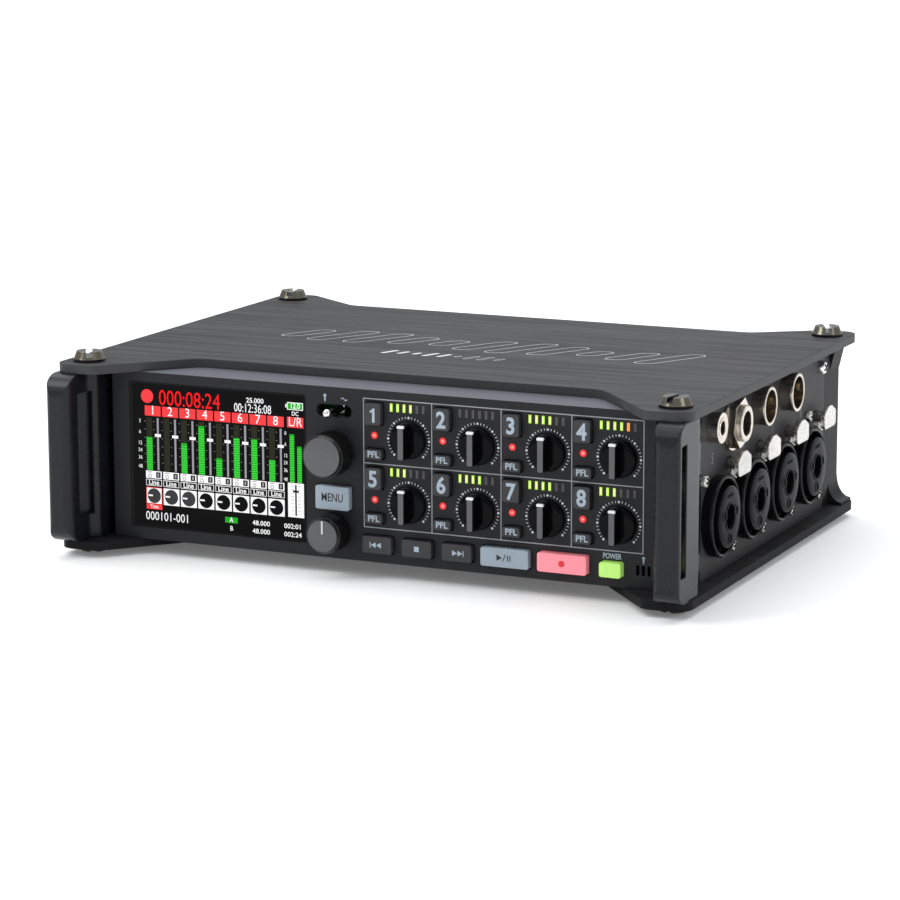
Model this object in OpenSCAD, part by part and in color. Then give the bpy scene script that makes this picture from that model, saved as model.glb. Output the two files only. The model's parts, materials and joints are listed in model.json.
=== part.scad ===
// Portable eight-channel field recorder.
// Millimetres, +Z up. The front faces -Y and the origin is under the middle of the case, level with
// the bottom of the feet.

/* [Case] */
// Width over the side edges of the two plates
case_w = 178.2; // [176:0.1:180]
// Depth from the front of the handles to the rear ears
case_d = 140; // [139:0.1:141]
// Height from the feet to the tops of the corner screws
case_h = 54.3; // [54:0.1:55]
// Thickness of the top and bottom plates
plate_t = 2.3; // [2:0.1:2.6]
// Height of the rubber feet
foot_h = 2; // [1.8:0.1:2.4]
// Height of the heads of the top corner screws
head_h = 2.7; // [2.4:0.1:3]

/* [Plates] */
// Radius of the outer corners of a plate
corner_r = 4.5; // [3:0.5:6]
// Length of a front ear's straight front edge
front_ear = 11.7; // [10:0.1:13]
// Distance in from the side to where a front ear's slanted edge ends
front_kink = 31.5; // [30:0.5:34]
// How far the plates step back between the front ears
front_notch = 22.3; // [21:0.1:23]
// Length of a rear ear's straight rear edge
rear_ear = 9.4; // [8.5:0.1:10]
// Distance in from the side to where a rear ear's slanted edge ends
rear_kink = 27.6; // [26:0.5:29]
// How far the plates step forward between the rear ears
rear_notch = 12.8; // [12:0.1:13]

/* [Front panel] */
// Half width of the front panel
panel_x = 77; // [76.5:0.1:77]
// Thickness of the front panel
panel_t = 2.4; // [2:0.1:2.6]
// Width of one channel's cell
cell_w = 19.2; // [19:0.1:19.4]
// Height of one channel's cell
cell_h = 16.8; // [16.6:0.1:17]
// Width of the display window
window_w = 52.3; // [50:0.1:53]
// Height of the display window
window_h = 39.2; // [37:0.1:40]
// How far the keys stand out of the panel
key_out = 1.6; // [1:0.1:2]
// Gap between a key and the edge of its hole
key_gap = 0.25; // [0.2:0.05:0.3]

/* [Knobs] */
// Radius of a trim knob's skirt
trim_r = 4.85; // [4.5:0.05:5]
// How far a trim knob's pointer bar stands out of the panel
trim_out = 5; // [4.5:0.1:5.5]
// Radius of the select knob
select_r = 5.8; // [5.5:0.1:6]
// Radius of the headphone volume knob
volume_r = 4.9; // [4.6:0.1:5.2]
// How far the two large knobs stand out of the panel
knob_out = 7.6; // [7:0.1:8]
// Radius of the shafts of the knobs
shaft_r = 3; // [2.5:0.1:3]
// Radial running clearance of a shaft in its hole
run_gap = 0.06; // [0.03:0.01:0.09]

/* [Sockets] */
// Distance between neighbouring input jacks
jack_pitch = 23.1; // [23:0.1:23.5]
// Outer radius of an input jack's ring
jack_r = 10.5; // [10.2:0.1:10.6]
// Radius of the 6.35 mm plug hole in an input jack
plug_r = 3.25; // [3.2:0.01:3.3]

/* [Hidden] */
$fn = 48;
EPS = 0.01;

// Heights of the space between the plates
gap_lo = foot_h + plate_t;
gap_hi = case_h - head_h - plate_t;
gap_h = gap_hi - gap_lo;
gap_mid = (gap_lo + gap_hi) / 2;

// Depths of the plates' edges, and of the panel's face
plate_front = -case_d / 2 + 5.4;
plate_back = case_d / 2;
step_front = plate_front + front_notch;
step_back = plate_back - rear_notch;
face_y = plate_front + 9.8;
panel_in = face_y + panel_t;

// Side walls of the chassis
wall_t = 2;
side_x = case_w / 2 - 4.9;
rear_y = step_back - 2.2;

// Corner screws
screw_x = case_w / 2 - 6.4;
screw_front = plate_front + 7.8;
screw_rear = plate_back - 9;
screw_shank = 1.5;
screw_len = 6.5;
screw_hole = screw_len - plate_t + 0.5;
head_r = 4.25;
slot_turns = [30, -5, 12, 25];

// Channel cells: left line of the first column and top line of the first row
grid_x = -3.1;
grid_top = gap_hi - 2.25;

// Where things sit in a channel's cell, from the cell's top left corner
track_at = [3.25, -3.75];
track_size = [4.5, 5.6];
pfl_at = [3.4, -14.2];
pfl_size = [4.8, 2.5];
light_at = [3.05, -9.45];
light_r = 0.9;
bar_at = [7.85, -1.9];
bar_size = [0.72, 2.1];
bar_step = 1.8;
bar_count = 6;
trim_at = [12.7, -9.95];

// Key column between the window and the cells
control_x = -11.5;
lever_z = 43.1;
select_z = 32.3;
menu_z = 20.5;
volume_z = 11.6;

// Display window's middle
window_x = -45.85;
window_z = 27.1;

// Keys of the bottom row: name, middle, size
key_z = 9.2;
ROW_KEYS = [
    ["menu_key", [control_x, menu_z], [9.6, 6.2]],
    ["rewind_key", [1.15, key_z], [8.2, 4.4]],
    ["stop_key", [12.4, key_z], [8.2, 4.4]],
    ["forward_key", [23.65, key_z], [8.2, 4.4]],
    ["play_key", [36.85, key_z], [13.1, 4.9]],
    ["record_key", [52.5, key_z], [13.3, 4.9]],
    ["power_key", [65.5, key_z - 0.4], [5.8, 3.8]],
];
key_corner = 0.6;
key_flange = 0.5;

// Knob details
knob_lift = 0.8;
knurl_teeth = 40;
knurl_depth = 0.22;
shaft_end = panel_in + 1.8;

// Slate lever
lever_r = 0.95;
lever_tip_r = 1.15;
lever_pivot = panel_in + 3;
lever_out = 4.1;
lever_slot = [10, 3.2];

// Side sockets: depth and height of each on the right wall
jack_z = gap_lo + 15.2;
jack_first = -31.6;
jack_ring_out = 2.8;
jack_insert_out = 3.9;
jack_insert_r = 7.9;
jack_ring_in = 9.6;
jack_barrel_r = 9.9;
jack_deep = 20;
groove_deep = 8;
latch_at = [10.5, 12];
latch_size = [9.4, 6];
latch_in = 2.7;
latch_t = 1.4;
latch_stem = [3, 2.4];
line_at = [-35.5, 42.9];
phones_at = [-19.8, 41.4];
mini_at = [[-0.8, 42.6], [21.3, 42.6]];
mini_r = 5.1;

// Card slots and data sockets: depth or across, and up
card_slot = [25, 2.8];
card_slots_y = -2;
card_slots_z = [40, 45];
data_socket = [9, 3.3];
data_socket_at = [30, 42];
rear_data_at = [62, 36];

// Battery tray and its cells
tray_x = -23;
tray_w = 65.6;
tray_lo = gap_lo + 3.5;
tray_h = 33.4;
tray_front = -3;
tray_t = 1.6;
cell_r = 7.1;
cell_len = 50;
cell_step = 15.3;

// Rear sockets: across and up
bnc_at = [[24, 36], [44, 36]];
power_at = [[24, 17], [44, 17]];

// Tripod thread in the bottom plate
tripod_y = -18;
tripod_r = 3.175;
tripod_h = 8;

// Rubber feet
foot_at = [66, 39];
foot_mid = 7;
foot_r = 6;

// ---- helpers ----

// Middle of something in channel n's cell, n from 1 to 8
function in_cell(n, at) = [
    grid_x + cell_w * ((n - 1) % 4) + at[0],
    grid_top - cell_h * floor((n - 1) / 4) + at[1]
];

// Points of a rounded corner between two straight edges
function arc_corner(a, p, b, r, n = 6) =
    let (u = (a - p) / norm(a - p), v = (b - p) / norm(b - p),
         half = acos(u * v) / 2, back = r / tan(half),
         mid = (u + v) / norm(u + v), c = p + mid * r / sin(half),
         s = p + u * back - c, e = p + v * back - c,
         turn = 180 - 2 * half, way = sign(s[0] * e[1] - s[1] * e[0]))
    [for (i = [0:n]) let (g = way * turn * i / n)
        c + [s[0] * cos(g) - s[1] * sin(g), s[0] * sin(g) + s[1] * cos(g)]];

// A closed outline with each corner rounded
function rounded(pts, radii) = [for (i = [0:len(pts) - 1])
    each arc_corner(pts[(i + len(pts) - 1) % len(pts)], pts[i], pts[(i + 1) % len(pts)], radii[i])];

module rounded_rect(size, r) {
    square([size[0] - 2 * r, size[1]], center = true);
    square([size[0], size[1] - 2 * r], center = true);
    for (sx = [-1, 1], sy = [-1, 1])
        translate([sx * (size[0] / 2 - r), sy * (size[1] / 2 - r)]) circle(r);
}

// A shape drawn on the front panel, right and up, filling the depths y0 to y1
module on_panel(y0, y1) {
    translate([0, y1, 0]) rotate([90, 0, 0]) linear_extrude(y1 - y0) children();
}

// A shape drawn on the right wall, back and up, filling x0 to x1
module on_side(x0, x1) {
    translate([x0, 0, 0]) rotate([90, 0, 90]) linear_extrude(x1 - x0) children();
}

module mirrored_pair() {
    children();
    mirror([1, 0, 0]) children();
}

// ---- case ----

module plate_outline() {
    w = case_w / 2;
    half = [
        [w - front_kink, step_front], [w - front_ear, plate_front], [w, plate_front],
        [w, plate_back], [w - rear_ear, plate_back], [w - rear_kink, step_back]
    ];
    radii = [7, 3, corner_r, corner_r, 3, 7];
    other = [for (i = [5:-1:0]) [-half[i][0], half[i][1]]];
    polygon(rounded(concat(half, other), concat(radii, [for (i = [5:-1:0]) radii[i]])));
}

module screw_holes(r) {
    for (sx = [-1, 1], y = [screw_front, screw_rear])
        translate([sx * screw_x, y, -EPS]) cylinder(r = r, h = plate_t + 2 * EPS);
}

module top_plate() color("dimgray") {
    translate([0, 0, gap_hi]) difference() {
        linear_extrude(plate_t) plate_outline();
        screw_holes(1.8);
    }
}

module bottom_plate() color("dimgray") {
    difference() {
        union() {
            translate([0, 0, foot_h]) difference() {
                linear_extrude(plate_t) plate_outline();
                screw_holes(1.8);
            }
            translate([0, tripod_y, foot_h]) cylinder(r = 7, h = tripod_h);
        }
        translate([0, tripod_y, foot_h - EPS]) cylinder(r = tripod_r, h = tripod_h + 2 * EPS);
    }
}

module latch_places() {
    for (i = [0:3])
        translate([jack_first + i * jack_pitch + latch_at[0] - 1, jack_z + latch_at[1]]) children();
}

module jack_places() {
    for (i = [0:3]) translate([jack_first + i * jack_pitch, jack_z]) children();
}

module chassis() color([0.2, 0.2, 0.21]) {
    wall_len = rear_y - wall_t - step_front;
    difference() {
        union() {
            for (sx = [-1, 1]) {
                translate([sx * (side_x - wall_t / 2), step_front + wall_len / 2, gap_mid])
                    cube([wall_t, wall_len, gap_h], center = true);
                translate([sx * (side_x + panel_x) / 2, step_front + wall_t / 2, gap_mid])
                    cube([side_x - panel_x - 0.1, wall_t, gap_h], center = true);
            }
            translate([-side_x, rear_y - wall_t, gap_lo]) cube([2 * side_x, wall_t, gap_h]);
            for (x = [tray_x - 22, tray_x + 22])
                translate([x - 4, tray_front + 4, gap_lo])
                    cube([8, rear_y - wall_t - tray_front - 4, tray_lo - gap_lo - 0.3]);
        }
        mirrored_pair() {
            on_side(panel_x - 1, side_x + 1) jack_places() circle(jack_barrel_r + 0.1);
            on_side(side_x - wall_t - 1, side_x + 1)
                latch_places() square(latch_stem + [0.4, 0.4], center = true);
        }
        on_side(side_x - wall_t - 1, side_x + 1) {
            translate(line_at) circle(3.1);
            translate(phones_at) circle(4.7);
            for (at = mini_at) translate(at) circle(4.95);
        }
        mirror([1, 0, 0]) on_side(side_x - wall_t - 1, side_x + 1) {
            for (z = card_slots_z) translate([card_slots_y, z]) square(card_slot, center = true);
            translate(data_socket_at) rounded_rect(data_socket, 1.5);
        }
        translate([tray_x - tray_w / 2 - 0.4, rear_y - wall_t - 1, tray_lo - 0.3])
            cube([tray_w + 0.8, wall_t + 2, tray_h + 0.7]);
        on_panel(rear_y - wall_t - 1, rear_y + 1) {
            for (at = bnc_at) translate(at) circle(4.9);
            for (at = power_at) translate(at) circle(6.1);
            translate(rear_data_at) rounded_rect(data_socket, 1.5);
        }
    }
}

module front_panel() color([0.23, 0.23, 0.24]) {
    flange_t = 1.6;
    flange_end = step_front + 6;
    pocket = 1.2;
    difference() {
        union() {
            on_panel(face_y, panel_in)
                translate([0, gap_mid]) rounded_rect([2 * panel_x, gap_h], 0.4);
            for (z = [gap_lo, gap_hi - flange_t])
                translate([-panel_x, panel_in - EPS, z])
                    cube([2 * panel_x, flange_end - panel_in, flange_t]);
            for (x = [-panel_x, panel_x - flange_t])
                translate([x, panel_in - EPS, gap_lo]) cube([flange_t, step_front - panel_in, gap_h]);
        }
        on_panel(face_y - 1, face_y + pocket)
            translate([window_x, window_z]) rounded_rect([window_w, window_h], 0.8);
        on_panel(face_y, panel_in + 1)
            translate([window_x, window_z]) square([window_w - 3, window_h - 3], center = true);
        on_panel(face_y - 1, panel_in + 1) {
            for (key = ROW_KEYS)
                translate(key[1]) rounded_rect(key[2] + 2 * [key_gap, key_gap], key_corner);
            for (n = [1:8]) {
                translate(in_cell(n, track_at))
                    rounded_rect(track_size + 2 * [key_gap, key_gap], key_corner);
                translate(in_cell(n, pfl_at))
                    rounded_rect(pfl_size + 2 * [key_gap, key_gap], key_corner);
                translate(in_cell(n, trim_at)) circle(shaft_r + run_gap);
            }
            translate([control_x, select_z]) circle(shaft_r + run_gap);
            translate([control_x, volume_z]) circle(shaft_r + run_gap);
            translate([control_x, lever_z]) rounded_rect(lever_slot, 1.5);
            for (i = [0:2]) translate([72.4 + 1.5 * i, 9.1]) square([0.8, 2.6], center = true);
        }
        light_shapes(face_y - 1, face_y + 0.8, 0.03);
    }
}

// Channel lamps and level meter bars, grown by a gap
module light_shapes(y0, y1, gap) {
    on_panel(y0, y1) for (n = [1:8]) {
        translate(in_cell(n, light_at)) circle(light_r + gap);
        for (i = [0:bar_count - 1])
            translate(in_cell(n, bar_at + [i * bar_step, 0]))
                square(bar_size + 2 * [gap, gap], center = true);
    }
}

module indicator_lights() color("yellowgreen") light_shapes(face_y - 0.04, face_y + 0.75, 0);

// The handle seen from above, without its slot
module handle_plan() {
    bar_out = case_w / 2 - 0.5;
    bar_in = bar_out - 7;
    front = -case_d / 2;
    web_in = screw_x - 3.4;
    polygon(rounded([
        [bar_in, front], [bar_out, front], [bar_out, front + 14.5], [side_x, step_front - 5],
        [side_x, step_front], [web_in, step_front], [web_in, front + 11.5],
        [bar_in, front + 9.5]
    ], [2.4, 1.6, 3, 3, 0.1, 0.1, 1.2, 2]));
}

// The slot of a handle seen from above: it slants from the front outside to the back inside
module handle_slot_plan() {
    bar_out = case_w / 2 - 0.5;
    bar_in = bar_out - 7;
    front = -case_d / 2;
    polygon([
        [bar_out + 1, front + 1.5], [bar_out - 3, front + 3.6], [bar_in + 1, front + 4.7],
        [bar_in - 1, front + 4.7], [bar_in - 1, front + 13.8], [bar_out + 1, front + 4.3]
    ]);
}

module side_handles() color([0.14, 0.15, 0.17]) mirrored_pair() {
    round_r = 5.5;
    slot_lo = gap_lo + 6.7;
    slot_hi = gap_hi - 5.3;
    difference() {
        intersection() {
            translate([0, 0, gap_lo]) linear_extrude(gap_h) handle_plan();
            on_side(side_x - 10, case_w / 2) polygon(rounded([
                [-case_d / 2, gap_lo], [step_front + 1, gap_lo],
                [step_front + 1, gap_hi], [-case_d / 2, gap_hi]
            ], [round_r, 0.1, 0.1, round_r]));
        }
        intersection() {
            translate([0, 0, slot_lo]) linear_extrude(slot_hi - slot_lo) handle_slot_plan();
            on_side(side_x - 10, case_w / 2 + 1)
                translate([-case_d / 2 + 7, (slot_lo + slot_hi) / 2])
                    rounded_rect([14, slot_hi - slot_lo], 3);
        }
        for (z = [gap_lo - EPS, gap_hi - screw_hole])
            translate([screw_x, screw_front, z]) cylinder(r = screw_shank + 0.1, h = screw_hole + EPS);
    }
}

// Posts between the plates' rear corners, each flaring out to the plates at its ends
module rear_guards() color([0.1, 0.1, 0.105]) mirrored_pair() {
    ear = [1.3, 7.5];
    flare = [4, 6.2];
    flare_edge = 0.8;
    inner = side_x - 13;
    back = plate_back - 1.2;
    difference() {
        union() {
            translate([0, 0, gap_lo]) linear_extrude(gap_h) polygon(rounded([
                [inner, rear_y], [side_x, rear_y], [side_x, back], [inner + 4, back]
            ], [0.2, 0.2, 1.5, 2]));
            on_panel(back - 9, back - 0.6) polygon([
                [side_x - 8, gap_hi], [side_x + ear[0], gap_hi], [side_x + ear[0], gap_hi - 1.5],
                [side_x - 0.1, gap_hi - ear[1]], [side_x - 8, gap_hi - ear[1]]
            ]);
            intersection() {
                on_panel(back - 9, back - 0.6) polygon(concat(
                    [[side_x - 8, gap_lo], [side_x + flare[0], gap_lo]],
                    [for (a = [0:10:90]) [side_x - 0.1 + flare[0] * (1 - sin(a)),
                                          gap_lo + flare_edge + flare[1] * (1 - cos(a))]],
                    [[side_x - 8, gap_lo + flare_edge + flare[1]]]));
                translate([0, 0, gap_lo]) linear_extrude(gap_h) plate_outline();
            }
        }
        for (z = [gap_lo - EPS, gap_hi - screw_hole])
            translate([screw_x, screw_rear, z]) cylinder(r = screw_shank + 0.1, h = screw_hole + EPS);
    }
}

// A corner screw with its head up and the head's underside at z = 0
module corner_screw(h, turn) {
    band = h * 0.28;
    top_r = head_r - 0.95;
    difference() {
        union() {
            cylinder(r = head_r, h = band);
            translate([0, 0, band]) cylinder(r1 = head_r - 0.15, r2 = top_r, h = h - band);
        }
        rotate([0, 0, turn]) translate([-0.85, -head_r - 1, h - h * 0.5]) cube([1.7, 2 * head_r + 2, h]);
    }
    translate([0, 0, EPS - screw_len]) cylinder(r = screw_shank, h = screw_len);
}

module case_screws() color([0.35, 0.35, 0.32]) {
    spots = [[-1, screw_front], [1, screw_front], [-1, screw_rear], [1, screw_rear]];
    for (i = [0:3]) {
        translate([spots[i][0] * screw_x, spots[i][1], gap_hi + plate_t])
            corner_screw(head_h, slot_turns[i]);
        translate([spots[i][0] * screw_x, spots[i][1], foot_h]) mirror([0, 0, 1])
            corner_screw(foot_h - 0.4, slot_turns[i]);
    }
}

module rubber_feet() color([0.07, 0.07, 0.07]) {
    for (sx = [-1, 1], sy = [-1, 1]) translate([sx * foot_at[0], foot_mid + sy * foot_at[1], 0]) {
        cylinder(r1 = foot_r - 0.5, r2 = foot_r, h = 0.5);
        translate([0, 0, 0.5]) cylinder(r = foot_r, h = foot_h - 0.5);
    }
}

// ---- display and boards ----

module display_window() color([0.05, 0.05, 0.06]) {
    on_panel(face_y, face_y + 1.15)
        translate([window_x, window_z]) rounded_rect([window_w - 0.1, window_h - 0.1], 0.8);
}

module display_module() color([0.1, 0.1, 0.12]) {
    on_panel(face_y + 1.3, panel_in + 1)
        translate([window_x, window_z]) square([window_w - 3.6, window_h - 3.6], center = true);
    on_panel(panel_in + 0.3, panel_in + 3.4)
        translate([window_x, window_z]) square([window_w, window_h - 0.6], center = true);
}

module main_board() color("darkgreen") {
    board_t = 1.6;
    translate([-58, -33, gap_hi - 4.7]) cube([116, 83, board_t]);
    for (x = [-40, -8, 24], y = [-20, 15])
        translate([x, y, gap_hi - 4.7 + board_t - EPS]) cube([14, 14, 1.4]);
    on_panel(panel_in + 5.5, panel_in + 5.5 + board_t)
        translate([0, gap_mid]) square([148, 38], center = true);
    on_panel(panel_in + 2.2, panel_in + 5.5 + EPS) {
        for (n = [1:8]) translate(in_cell(n, trim_at)) square([9, 9], center = true);
        for (z = [select_z, volume_z]) translate([control_x, z]) square([9, 9], center = true);
    }
}

// ---- keys, knobs and lever ----

module key(at, size) {
    on_panel(face_y - key_out, panel_in + 0.4) translate(at) rounded_rect(size, key_corner);
    on_panel(panel_in + 0.1, panel_in + 1)
        translate(at) square(size + 2 * [key_flange, key_flange], center = true);
}

module row_key(i) key(ROW_KEYS[i][1], ROW_KEYS[i][2]);

module track_key(n) color([0.27, 0.27, 0.29]) key(in_cell(n, track_at), track_size);

module pfl_key(n) color([0.27, 0.27, 0.29]) key(in_cell(n, pfl_at), pfl_size);

// A cylinder whose axis runs along the depth, from y0 to y1
module rod(at, r, y0, y1) {
    translate([at[0], y1, at[1]]) rotate([90, 0, 0]) cylinder(r = r, h = y1 - y0);
}

module trim_knob(n) color([0.04, 0.04, 0.045]) {
    at = in_cell(n, trim_at);
    bar = [1.9, 8.9];
    skirt_out = 0.8;
    rod(at, shaft_r, face_y - skirt_out + 0.1, shaft_end);
    rod(at, trim_r, face_y - skirt_out, face_y - 0.3);
    translate([at[0], face_y - skirt_out + EPS, at[1]]) rotate([90, 0, 0])
        cylinder(r1 = trim_r - 0.25, r2 = trim_r - 0.7, h = 0.5);
    on_panel(face_y - trim_out, face_y - skirt_out + 0.1) translate(at) rounded_rect(bar, 0.4);
}

module knurled(r) {
    polygon([for (i = [0:2 * knurl_teeth - 1])
        let (g = 180 * i / knurl_teeth, q = r - (i % 2) * knurl_depth) q * [cos(g), sin(g)]]);
}

// A knurled knob on the panel with a plain chamfered front
module large_knob(at, r, bore) {
    front = face_y - knob_out;
    difference() {
        union() {
            on_panel(front + 0.7, face_y - knob_lift) translate(at) knurled(r);
            translate([at[0], front + 0.7 + EPS, at[1]]) rotate([90, 0, 0])
                cylinder(r1 = r - 0.25, r2 = r - 0.6, h = 0.7);
        }
        if (bore) rod(at, shaft_r + run_gap, front + 1.4, face_y);
    }
}

module select_knob() color([0.12, 0.12, 0.125]) large_knob([control_x, select_z], select_r, true);

module select_shaft() color("silver")
    rod([control_x, select_z], shaft_r, face_y - knob_out + 1.5, shaft_end - 0.4);

module volume_knob() color([0.12, 0.12, 0.125]) {
    at = [control_x, volume_z];
    large_knob(at, volume_r, false);
    rod(at, shaft_r, face_y - knob_lift - 1, shaft_end);
}

module slate_lever() color("silver") {
    at = [control_x, lever_z];
    rod(at, lever_r, face_y - lever_out, lever_pivot);
    translate([at[0], face_y - lever_out, at[1]]) sphere(r = lever_tip_r);
    translate([at[0], lever_pivot, at[1] - 1.4]) cylinder(r = 1.6, h = 2.8);
}

// ---- sockets ----

module input_jack() {
    difference() {
        union() {
            on_side(side_x - jack_deep, side_x + EPS) circle(jack_barrel_r);
            on_side(side_x, side_x + jack_ring_out) circle(jack_r);
        }
        on_side(side_x - groove_deep, side_x + jack_ring_out + 1) circle(jack_ring_in);
        on_side(side_x - 14, side_x + jack_ring_out + 1) circle(plug_r);
    }
    difference() {
        on_side(side_x - groove_deep - EPS, side_x + jack_insert_out) circle(jack_insert_r);
        on_side(side_x - 14, side_x + jack_insert_out + 1) circle(plug_r);
    }
}

module input_jacks() color([0.05, 0.05, 0.055]) mirrored_pair() {
    for (i = [0:3]) translate([0, jack_first + i * jack_pitch, jack_z]) input_jack();
}

module output_jacks() color([0.6, 0.57, 0.52]) {
    bush_r = 4.6;
    nut_r = 6.6;
    difference() {
        union() {
            on_side(side_x, side_x + 3.1) translate(line_at) circle(3.9);
            on_side(side_x - 12, side_x + EPS) translate(line_at) circle(3);
        }
        on_side(side_x - 8, side_x + 4) translate(line_at) circle(1.8);
    }
    difference() {
        union() {
            on_side(side_x, side_x + 0.6) translate(phones_at) circle(7.2);
            on_side(side_x + 0.6 - EPS, side_x + 2.8) translate(phones_at) rotate(15) circle(nut_r, $fn = 6);
            on_side(side_x - 18, side_x + 4) translate(phones_at) circle(bush_r);
        }
        on_side(side_x - 12, side_x + 5) translate(phones_at) circle(3.2);
    }
    for (at = mini_at) difference() {
        union() {
            on_side(side_x, side_x + 3.8) translate(at) circle(mini_r);
            on_side(side_x - 12, side_x + EPS) translate(at) circle(4.85);
        }
        on_side(side_x - 5, side_x + 5) translate(at) circle(4.3);
    }
}

module rear_connectors() color([0.6, 0.6, 0.6]) {
    out = rear_y + 9;
    for (at = bnc_at) {
        rod(at, 6.6, rear_y, rear_y + 1.5);
        rod(at, 4.8, rear_y - 12, out - 7);
        difference() {
            rod(at, 4.8, out - 7 - EPS, out);
            rod(at, 4.1, out - 7 + EPS, out + 1);
        }
        rod(at, 0.7, out - 7 - EPS, out - 1);
    }
    for (at = power_at) difference() {
        union() {
            rod(at, 7, rear_y, rear_y + 2);
            rod(at, 6, rear_y - 12, rear_y + 5);
        }
        rod(at, 4.6, rear_y - 2, rear_y + 6);
    }
}

// A release tab of the right wall, at its middle, on a stem through the wall
module latch_tab(at) {
    tab_in = side_x + latch_in;
    w = latch_size[0] / 2;
    h = latch_size[1] / 2;
    on_side(tab_in, tab_in + latch_t)
        translate(at) polygon(rounded([
            [-w, -h], [w, -h], [w, h * 0.4], [w * 0.25, h], [-w * 0.25, h], [-w, h * 0.4]
        ], [1.2, 1.2, 0.9, 0.9, 0.9, 0.9]));
    on_side(side_x - wall_t - 3, tab_in + EPS)
        translate(at - [1, 0]) square(latch_stem, center = true);
}

// From front to back, channels 1 to 4 are on the left wall and 5 to 8 on the right wall
module input_latch(n) color("lightgray") {
    at = [jack_first + ((n - 1) % 4) * jack_pitch, jack_z] + latch_at;
    if (n > 4) latch_tab(at);
    else mirror([1, 0, 0]) latch_tab(at);
}

// ---- battery tray ----

module battery_tray() color([0.13, 0.13, 0.14]) {
    plate_y = rear_y + 0.2;
    difference() {
        translate([tray_x - tray_w / 2, tray_front, tray_lo])
            cube([tray_w, plate_y + 1 - tray_front, tray_h]);
        translate([tray_x - tray_w / 2 + tray_t, tray_front + tray_t, tray_lo + tray_t])
            cube([tray_w - 2 * tray_t, rear_y - wall_t - tray_front - tray_t - 1, tray_h]);
    }
    on_panel(plate_y, plate_y + 3)
        translate([tray_x, tray_lo + tray_h / 2 - 0.2]) rounded_rect([tray_w + 4, tray_h + 3], 2);
    on_panel(plate_y + 3 - EPS, plate_y + 6)
        translate([tray_x, tray_lo + tray_h / 2]) rounded_rect([24, 5], 2);
}

module battery_cells() color([0.5, 0.5, 0.52]) {
    low = tray_lo + tray_t + 0.1 + cell_r;
    near = tray_front + tray_t + 1;
    for (i = [0:3], j = [0, 1])
        rod([tray_x + (i - 1.5) * cell_step, low + j * (2 * cell_r + 0.5)], cell_r, near, near + cell_len);
}

// ---- drawing ----

top_plate();
bottom_plate();
chassis();
front_panel();
side_handles();
rear_guards();
display_window();
display_module();
main_board();
case_screws();
rubber_feet();
input_jacks();
output_jacks();
rear_connectors();
indicator_lights();
battery_tray();
battery_cells();
select_shaft();
select_knob();
volume_knob();
slate_lever();
color([0.55, 0.6, 0.65]) row_key(0);  // menu_key
color([0.27, 0.27, 0.29]) row_key(1);  // rewind_key
color([0.27, 0.27, 0.29]) row_key(2);  // stop_key
color([0.27, 0.27, 0.29]) row_key(3);  // forward_key
color([0.55, 0.6, 0.65]) row_key(4);  // play_key
color([0.95, 0.55, 0.58]) row_key(5);  // record_key
color([0.7, 0.95, 0.4]) row_key(6);  // power_key
for (n = [1:8]) {
    track_key(n);
    pfl_key(n);
    trim_knob(n);
    input_latch(n);
}
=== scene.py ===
"""Looks of the portable field recorder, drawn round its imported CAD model.

Lengths are in millimetres in the row's frame, and are turned into metres where Blender gets them.
"""
import json
import math

import bmesh
import bpy
from mathutils import Matrix, Vector


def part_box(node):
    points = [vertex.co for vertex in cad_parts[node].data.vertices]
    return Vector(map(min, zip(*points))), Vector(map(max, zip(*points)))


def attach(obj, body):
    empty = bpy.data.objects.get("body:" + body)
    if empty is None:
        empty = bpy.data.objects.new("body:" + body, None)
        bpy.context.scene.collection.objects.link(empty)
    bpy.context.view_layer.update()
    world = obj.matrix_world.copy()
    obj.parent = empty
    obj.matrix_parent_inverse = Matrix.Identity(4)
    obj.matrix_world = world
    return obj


MM = 0.001
CHANNELS = range(1, 9)

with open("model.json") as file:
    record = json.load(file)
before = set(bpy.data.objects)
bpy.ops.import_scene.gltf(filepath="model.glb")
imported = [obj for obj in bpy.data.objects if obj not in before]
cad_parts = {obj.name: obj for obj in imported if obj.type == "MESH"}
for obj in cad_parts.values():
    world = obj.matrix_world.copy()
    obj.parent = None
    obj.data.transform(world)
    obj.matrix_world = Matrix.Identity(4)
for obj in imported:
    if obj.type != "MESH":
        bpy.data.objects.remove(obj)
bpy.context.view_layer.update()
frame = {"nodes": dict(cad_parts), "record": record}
nodes = frame["nodes"]
mounts = {mount["name"]: mount for mount in frame["record"]["mounts"]}


def low(node):
    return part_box(node)[0] / MM


def high(node):
    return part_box(node)[1] / MM


def middle(node):
    return (low(node) + high(node)) / 2


# ---- materials ----


def socket(shader, name, value):
    shader.inputs[name].default_value = value


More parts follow.
